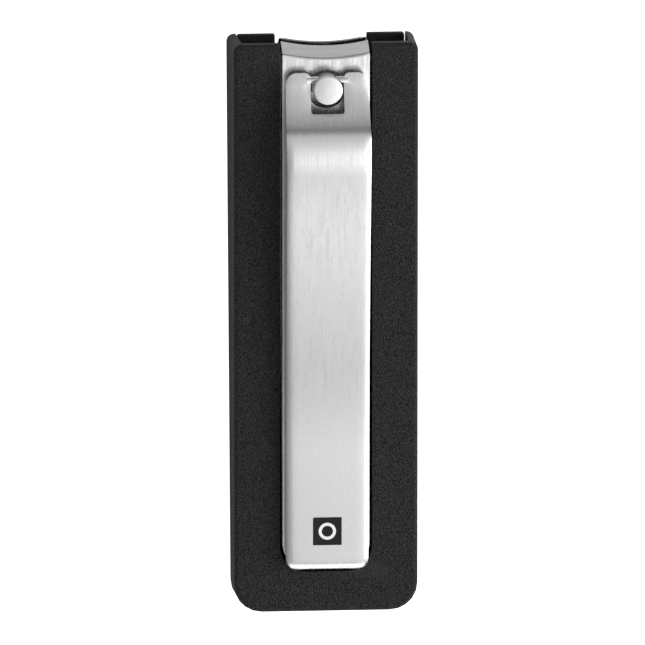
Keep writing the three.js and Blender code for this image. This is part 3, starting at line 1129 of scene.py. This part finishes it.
    def flat_blank(self) -> Object:
        """The lever's outline as a flat blank, with its cross lines cut in.

        Returns:
            The blank.
        """
        length = self.tip_y - self.tail_y
        deselect_all()
        bpy.ops.mesh.primitive_plane_add(size=1, location=(0, self.tail_y + length / 2, 0))
        piece = bpy.context.object
        piece.name = piece.data.name = "lever_brushed"
        piece.scale = (2 * self.knee_half, length, 1)
        settle(piece)
        bpy.ops.object.mode_set(mode="EDIT")
        fork_y = self.pin_y - self.fork_reach
        for x in (-self.fork_half, self.fork_half):
            bisect(Vector((x, 0, 0)), X_AXIS)
        bisect(Vector((0, fork_y, 0)), Y_AXIS)
        pick(
            piece,
            "FACE",
            lambda face: abs(face.calc_center_median().x) < self.fork_half
            and face.calc_center_median().y > fork_y,
        )
        bpy.ops.mesh.delete(type="FACE")
        self.round_corners(piece, self.tail_y, self.knee_half, self.tail_corner)
        self.round_corners(piece, self.tip_y, self.knee_half, self.tip_outer)
        self.round_corners(piece, self.tip_y, self.fork_half, self.tip_inner)
        for line in self.roll_lines:
            bisect(Vector((self.knee_half - line * MM, 0, 0)), X_AXIS)
            bisect(Vector((line * MM - self.knee_half, 0, 0)), X_AXIS)
            bisect(Vector((0, self.tail_y + line * MM, 0)), Y_AXIS)
        for y in self.stations():
            if abs(y - fork_y) > WELD:
                bisect(Vector((0, y, 0)), Y_AXIS)
        for line in self.flat_lines:
            bisect(Vector((line * MM, 0, 0)), X_AXIS)
        bpy.ops.object.mode_set(mode="OBJECT")
        return piece

    def round_corners(self, piece: Object, y: float, x: float, radius: float) -> None:
        """Round the pair of corners of the flat blank at (x, y) and (-x, y).

        Args:
            piece: The blank in edit mode.
            y: The corners' place along the lever.
            x: The corners' place across it.
            radius: The rounding's radius.
        """
        pick(
            piece,
            "VERT",
            lambda vert: abs(vert.co.y - y) < WELD and abs(abs(vert.co.x) - x) < WELD,
        )
        bpy.ops.mesh.bevel(offset=radius, segments=8, affect="VERTICES", profile=0.5)

    def lift(self, piece: Object) -> None:
        """Draw each cross line in to its width and lift it to its height.

        Args:
            piece: The flat blank.
        """
        activate(piece)
        bpy.ops.object.mode_set(mode="EDIT")
        spread = 4 * WELD
        lines: list[float] = []
        for y in sorted(vert.co.y for vert in bmesh.from_edit_mesh(piece.data).verts):
            if not lines or y - lines[-1] > spread:
                lines.append(y)
        for y in lines:
            pick(piece, "VERT", lambda vert: -WELD < vert.co.y - y <= spread)
            bpy.ops.transform.translate(value=(0, 0, self.rise(y)))
        self.roll_rims(piece)
        for y in lines:
            pick(piece, "VERT", lambda vert: -WELD < vert.co.y - y <= spread)
            share = self.half_width(y) / self.knee_half
            bpy.ops.transform.resize(value=(share, 1, 1), center_override=(0, y, 0))
        bpy.ops.object.mode_set(mode="OBJECT")

    def roll_rims(self, piece: Object) -> None:
        """Draw the rim down a little and leave a slight crown, step by step of equal drop.

        Args:
            piece: The lever in edit mode.
        """
        step = self.roll_step
        drops = {
            round(self.roll(vert.co.x, vert.co.y) / step)
            for vert in bmesh.from_edit_mesh(piece.data).verts
        }
        for drop in sorted(drops - {0}):
            pick(piece, "VERT", lambda vert: round(self.roll(vert.co.x, vert.co.y) / step) == drop)
            bpy.ops.transform.translate(value=(0, 0, -drop * step))

    def round_fork(self, piece: Object) -> None:
        """Round the two inner corners at the bottom of the fork.

        Args:
            piece: The lever.
        """
        activate(piece)
        bpy.ops.object.mode_set(mode="EDIT")
        fork_y = self.pin_y - self.fork_reach
        side_reach, corner_reach = 0.06 * MM, 1.2 * MM
        upright, least_turn = 0.8 * self.thickness, 1.2
        pick(
            piece,
            "EDGE",
            lambda edge: abs(abs(middle(edge).x) - self.fork_half) < side_reach
            and abs(middle(edge).y - fork_y) < corner_reach
            and abs(edge.verts[0].co.z - edge.verts[1].co.z) > upright
            and len(edge.link_faces) == 2
            and edge.calc_face_angle(0) > least_turn,
        )
        bpy.ops.mesh.bevel(offset=self.fork_corner, segments=5, affect="EDGES")
        bpy.ops.object.mode_set(mode="OBJECT")

    def add_lugs(self, piece: Object) -> None:
        """Join a short round lug to the inside of each prong.

        Args:
            piece: The lever.
        """
        inside = self.fork_half + self.lug_radius
        length = inside - self.lug_end
        for side in (-1, 1):
            deselect_all()
            bpy.ops.mesh.primitive_cylinder_add(
                vertices=32,
                radius=self.lug_radius,
                depth=length,
                location=(side * (self.lug_end + length / 2), self.lug_place.y, self.lug_place.z),
                rotation=(0, math.radians(90), 0),
            )
            lug = bpy.context.object
            settle(lug)
            bpy.ops.object.mode_set(mode="EDIT")
            pick(lug, "EDGE", lambda edge: abs(abs(middle(edge).x) - self.lug_end) < NEAR)
            bpy.ops.mesh.bevel(offset=self.lug_round, segments=3, affect="EDGES")
            bpy.ops.object.mode_set(mode="OBJECT")
            apply_modifier(piece, "BOOLEAN", operation="UNION", object=lug, solver="EXACT")
            bpy.data.objects.remove(lug)


@dataclass
class MakerMark:
    """A small dark square let into the lever's tail, with a plain light ring in it."""

    workshop: Workshop
    lever: Lever
    half: float = 1.74 * MM
    tail_distance: float = 4.75 * MM
    height: float = 0.012 * MM
    corner: float = 0.12 * MM
    ring_outer: float = 1.05 * MM
    ring_inner: float = 0.68 * MM

    def build(self) -> list[Object]:
        """Make and dress the square and the ring.

        Returns:
            The square and the ring.
        """
        centre_y = self.lever.tail_y + self.tail_distance
        step = 1 * MM
        slope = math.atan2(
            self.lever.rise(centre_y + step) - self.lever.rise(centre_y - step), 2 * step
        )
        top = Matrix.Translation((0, centre_y, self.lever.rise(centre_y)))
        place = self.lever.face.place @ top @ Matrix.Rotation(slope, 4, "X")
        enamel = MouldedPlastic(
            "Mark enamel",
            (0.004, 0.004, 0.004),
            (0.007, 0.007, 0.007),
            (0.01, 0.01, 0.01),
            roughness=(0.4, 0.55),
            grain_size=0.15 * MM,
            grain_depth=0.004 * MM,
        ).material(self.workshop)
        steel = GroundSteel(
            "Mark steel", Direction.LENGTHWISE, (0.6, 0.6, 0.595), (0.76, 0.76, 0.755)
        ).material(self.workshop)
        made = [self.square(place, enamel), self.ring(place, steel)]
        for piece in made:
            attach(piece, "lever")
        return made

    def square(self, place: Matrix, finish: bpy.types.Material) -> Object:
        """The dark square, its corners slightly rounded.

        Args:
            place: The transform to the row frame.
            finish: The material.

        Returns:
            The square.
        """
        deselect_all()
        bpy.ops.mesh.primitive_cube_add(size=1)
        piece = bpy.context.object
        piece.name = piece.data.name = "mark_square"
        piece.scale = (2 * self.half, 2 * self.half, 2 * self.height)
        settle(piece)
        bpy.ops.object.mode_set(mode="EDIT")
        pick(piece, "EDGE", lambda edge: along(edge, Z_AXIS))
        bpy.ops.mesh.bevel(offset=self.corner, segments=4, affect="EDGES")
        bpy.ops.object.mode_set(mode="OBJECT")
        settle(piece, place)
        piece.data.materials.append(finish)
        return piece

    def ring(self, place: Matrix, finish: bpy.types.Material) -> Object:
        """The light ring, a flat washer that stands a hair above the square.

        Args:
            place: The transform to the row frame.
            finish: The material.

        Returns:
            The ring.
        """
        deselect_all()
        bpy.ops.mesh.primitive_cylinder_add(
            vertices=64, radius=self.ring_outer, depth=4 * self.height
        )
        piece = bpy.context.object
        piece.name = piece.data.name = "mark_ring"
        bpy.ops.object.mode_set(mode="EDIT")
        pick(piece, "FACE", lambda face: abs(face.normal.z) > 0.9)
        bpy.ops.mesh.inset(thickness=self.ring_outer - self.ring_inner)
        bpy.ops.mesh.bridge_edge_loops()
        bpy.ops.object.mode_set(mode="OBJECT")
        settle(piece, place)
        piece.data.materials.append(finish)
        return piece


# Studio


@dataclass(frozen=True)
class Softbox:
    """A soft rectangular light, aimed at the clipper."""

    name: str
    place: tuple[float, float, float]
    size: tuple[float, float]
    brightness: float

    def build(self) -> Object:
        """Make the light.

        Returns:
            The light.
        """
        data = bpy.data.lights.new(self.name, "AREA")
        data.shape = "RECTANGLE"
        data.size, data.size_y = self.size
        data.energy = self.brightness * math.pi * self.size[0] * self.size[1]
        light = bpy.data.objects.new(self.name, data)
        bpy.context.scene.collection.objects.link(light)
        light.location = self.place
        light.visible_camera = False
        light.rotation_euler = Vector(self.place).to_track_quat("Z", "Y").to_euler()
        return light


@dataclass
class Studio:
    """A pale floor, a soft sky, softboxes and the camera."""

    view: Vector = field(default_factory=lambda: Vector((-0.0714, 0.157, 1)).normalized())
    target: Vector = field(default_factory=lambda: Vector((-0.43, 0.76, 7.5)) * MM)
    roll: float = 0.0051
    distance: float = 2.2
    frame_width: float = 77.68 * MM
    sensor: float = 36.0
    boxes: tuple[Softbox, ...] = (
        Softbox("overhead_box", (0.19, -0.11, 0.77), (0.42, 0.25), 1.3),
        Softbox("right_box", (0.62, -0.02, 0.36), (0.55, 0.9), 4.0),
        Softbox("tail_box", (0.05, -0.62, 0.46), (0.8, 0.4), 2.2),
    )

    def build(self) -> None:
        """Make the floor, the sky, the lights and the camera."""
        self.floor()
        self.sky()
        for box in self.boxes:
            box.build()
        self.camera()

    def floor(self) -> None:
        """The plain pale surface that the clipper lies on."""
        deselect_all()
        bpy.ops.mesh.primitive_plane_add(size=6, location=(0, 0, -0.02 * MM))
        plane = bpy.context.object
        plane.name = "floor"
        made = Material("Pale floor")
        tone = add_node(made.tree, "TexNoise", {"Scale": 3.0}).outputs["Fac"]
        made.surface(
            Base_Color=made.mixed(tone, (0.88, 0.88, 0.88), (0.9, 0.9, 0.9)),
            Roughness=0.9,
            Specular_IOR_Level=0.1,
            Emission_Color=(1, 1, 1, 1),
            Emission_Strength=add_node(made.tree, "LightPath").outputs["Is Camera Ray"],
        )
        plane.data.materials.append(made.made)

    def sky(self) -> None:
        """A soft sky, bright overhead and dim at the horizon."""
        world = bpy.data.worlds.new("Studio sky")
        bpy.context.scene.world = world
        world.use_nodes = True
        tree = world.node_tree
        place = add_node(tree, "TexCoord")
        axes = add_node(tree, "SeparateXYZ", {0: place.outputs["Generated"]})
        ramp = add_node(tree, "ValToRGB", {0: axes.outputs["Z"]})
        stops = ((0.0, 0.04), (0.36, 0.07), (0.46, 0.28), (0.55, 0.5), (0.72, 0.6), (1.0, 0.76))
        for element, (position, value) in zip(ramp.color_ramp.elements, (stops[0], stops[-1])):
            element.position = position
            element.color = (value, value, value, 1)
        for position, value in stops[1:-1]:
            ramp.color_ramp.elements.new(position).color = (value, value, value, 1)
        across = {"Value": axes.outputs["X"], "From Min": -1, "To Min": 0.55, "To Max": 1.45}
        side = add_node(tree, "MapRange", across)
        light = {"Color": ramp.outputs[0], "Strength": side.outputs[0]}
        feed(tree, tree.nodes["Background"], light)

    def camera(self) -> None:
        """The camera, a long lens almost straight above the clipper."""
        data = bpy.data.cameras.new("camera")
        data.sensor_width = self.sensor
        data.lens = self.sensor * self.distance / self.frame_width
        data.clip_end = 50
        camera = bpy.data.objects.new("camera", data)
        bpy.context.scene.collection.objects.link(camera)
        right = Vector((self.roll, 1, 0)).cross(self.view).normalized()
        up = self.view.cross(right)
        turn = Matrix((right, up, self.view)).transposed().to_4x4()
        camera.matrix_world = Matrix.Translation(self.target + self.view * self.distance) @ turn
        bpy.context.scene.camera = camera


def main() -> None:
    """Build the clipper's pieces in order, then the studio."""
    logging.basicConfig(level=logging.INFO, format="%(message)s")
    bpy.context.scene.view_settings.view_transform = "Standard"
    workshop = Workshop()
    face = FrontFace()
    lever = Lever(workshop, face)
    made = [*CatcherHousing(workshop).build(), *BladePair(workshop).build()]
    made += [PivotPin(workshop).build(), lever.build(), *MakerMark(workshop, lever).build()]
    for piece in made:
        LOG.info("%s: %d faces", piece.name, len(piece.data.polygons))
    Studio().build()


if __name__ == "__main__":
    main()
